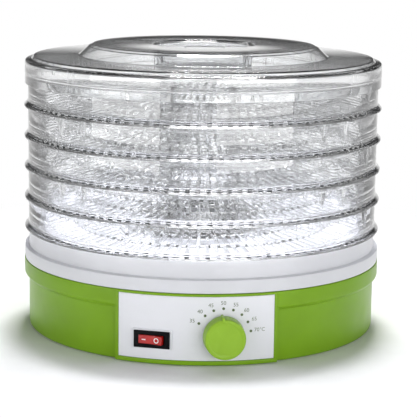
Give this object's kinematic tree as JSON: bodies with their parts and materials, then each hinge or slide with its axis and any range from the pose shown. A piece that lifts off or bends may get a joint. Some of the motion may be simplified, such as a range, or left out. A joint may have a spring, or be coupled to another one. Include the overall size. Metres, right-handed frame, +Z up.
{
  "type": "food dehydrator",
  "caption": "Round electric food dehydrator: green fan heater base with a white deck and dial panel, a stack of clear perforated trays and a clear domed lid.",
  "frame": {"origin": "on the surface the dehydrator stands on, on the axis of its round body", "axes": "+Z up along the axis of the round body, -Y out of the front where the control panel is, +X to the right seen from the front"},
  "size_m": [0.325, 0.3504, 0.256],
  "materials": {
    "green_plastic": "lime green moulded plastic, satin gloss",
    "knob_plastic": "lime green moulded plastic, satin",
    "white_plastic": "cool white moulded plastic, satin gloss",
    "panel_plastic": "cool white moulded plastic, fine satin, printed dial",
    "clear_plastic": "clear moulded plastic, polished",
    "black_plastic": "black moulded plastic, fine grain",
    "grey_plastic": "dark grey moulded plastic",
    "switch_black": "black moulded plastic",
    "red_rocker": "translucent red plastic, printed marks",
    "rubber": "black rubber",
    "steel": "zinc plated steel",
    "laminations": "stacked electrical steel sheets",
    "aluminium": "pressed aluminium",
    "bronze": "sintered bronze and brass",
    "copper_wire": "enamelled copper winding",
    "resistance_wire": "oxidised resistance wire",
    "mica": "pressed mica board",
    "ceramic": "cream steatite ceramic",
    "wire_insulation": "brown silicone insulation"
  },
  "bodies": {
    "base": {"base_housing": "green_plastic", "top_deck": "white_plastic", "outlet_grille": "grey_plastic", "bottom_plate": "black_plastic", "control_panel": "panel_plastic", "foot_1": "rubber", "foot_2": "rubber", "foot_3": "rubber", "foot_4": "rubber", "base_screw_1": "steel", "base_screw_2": "steel", "base_screw_3": "steel", "base_screw_4": "steel", "motor_stator": "laminations", "coil_bobbin": "grey_plastic", "motor_coil": "copper_wire", "motor_bridge_lower": "steel", "motor_bridge_upper": "steel", "bearing_lower": "bronze", "bearing_upper": "bronze", "motor_screw_1": "steel", "motor_screw_2": "steel", "strap_screw_1": "steel", "strap_screw_2": "steel", "heater_cup": "aluminium", "cup_screw_1": "steel", "cup_screw_2": "steel", "cup_screw_3": "steel", "heater_frame": "mica", "heating_coil": "resistance_wire", "thermal_cutout": "ceramic", "switch_housing": "switch_black", "switch_terminal_1": "bronze", "switch_terminal_2": "bronze", "thermostat_body": "ceramic", "thermostat_nut": "steel", "cord_inlet": "black_plastic", "terminal_block": "ceramic", "wire_live": "wire_insulation", "wire_heater": "wire_insulation", "wire_control": "wire_insulation"},
    "fan": {"motor_shaft": "steel", "rotor_core": "aluminium", "fan_impeller": "aluminium", "fan_nut": "steel"},
    "knob": {"thermostat_knob": "knob_plastic", "thermostat_shaft": "steel"},
    "rocker": {"switch_rocker": "red_rocker"},
    "tray_1": {"tray_1": "clear_plastic"},
    "tray_2": {"tray_2": "clear_plastic"},
    "tray_3": {"tray_3": "clear_plastic"},
    "tray_4": {"tray_4": "clear_plastic"},
    "tray_5": {"tray_5": "clear_plastic"},
    "lid": {"lid": "clear_plastic"}
  },
  "joints": [
    {"name": "fan_spin", "type": "hinge", "parent": "base", "child": "fan", "pos_m": [0, 0, 0.0555], "axis": [0, 0, 1], "continuous": true},
    {"name": "knob_turn", "type": "hinge", "parent": "base", "child": "knob", "pos_m": [0.02318, -0.16084, 0.0265], "axis": [0.1426, -0.9898, 0], "range_deg": [-85, 59]},
    {"name": "rocker_tilt", "type": "hinge", "parent": "base", "child": "rocker", "pos_m": [-0.0361, -0.15639, 0.0221], "axis": [0, 0, 1], "range_deg": [0, 16]},
    {"name": "tray_1_lift", "type": "slide", "parent": "base", "child": "tray_1", "axis": [0, 0, 1], "range_m": [0, 0.045]},
    {"name": "tray_2_lift", "type": "slide", "parent": "tray_1", "child": "tray_2", "axis": [0, 0, 1], "range_m": [0, 0.045]},
    {"name": "tray_3_lift", "type": "slide", "parent": "tray_2", "child": "tray_3", "axis": [0, 0, 1], "range_m": [0, 0.045]},
    {"name": "tray_4_lift", "type": "slide", "parent": "tray_3", "child": "tray_4", "axis": [0, 0, 1], "range_m": [0, 0.045]},
    {"name": "tray_5_lift", "type": "slide", "parent": "tray_4", "child": "tray_5", "axis": [0, 0, 1], "range_m": [0, 0.045]},
    {"name": "lid_lift", "type": "slide", "parent": "tray_5", "child": "lid", "axis": [0, 0, 1], "range_m": [0, 0.06]}
  ]
}
